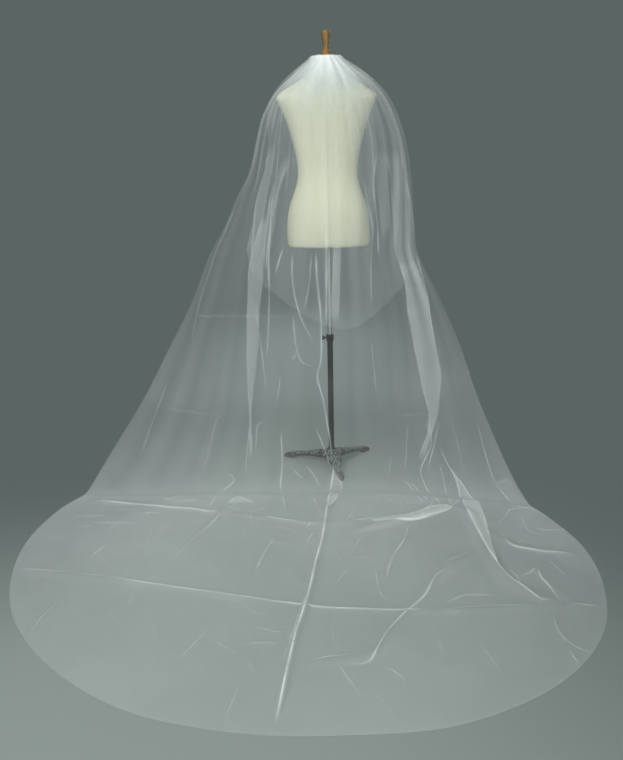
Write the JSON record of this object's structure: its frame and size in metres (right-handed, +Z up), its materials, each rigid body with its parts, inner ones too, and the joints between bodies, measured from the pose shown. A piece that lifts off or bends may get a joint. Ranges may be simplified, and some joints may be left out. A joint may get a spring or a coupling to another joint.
{
  "type": "bridal veil on dress form",
  "caption": "Sheer tiered tulle bridal veil, gathered at the neck of a limbless dress form on a cast-iron tripod stand, with a long rounded train spread over the floor.",
  "frame": {"origin": "on the floor, under the middle of the whole part's box", "axes": "+Z up; +X right and -Y towards someone looking at the veil's back, so the train lies towards -Y"},
  "size_m": [1.7734, 1.7035, 1.6243],
  "materials": {
    "tulle": "fine sheer net with a soft sheen",
    "form_cover": "matt cream jersey cover",
    "turned_wood": "satin varnish",
    "steel_rod": "brushed",
    "black_paint": "satin black",
    "knob_plastic": "gloss",
    "cast_base": "dark rubbed casting"
  },
  "bodies": {
    "root": {"short_tier": "tulle", "long_tier_upper": "tulle", "long_tier_lower": "tulle", "long_tier_train": "tulle", "gathered_heading": "tulle", "dress_form": "form_cover", "finial": "turned_wood", "upper_rod": "steel_rod", "outer_tube": "black_paint", "tube_collar": "black_paint", "collar_knob": "knob_plastic", "tripod_base": "cast_base"}
  },
  "joints": []
}
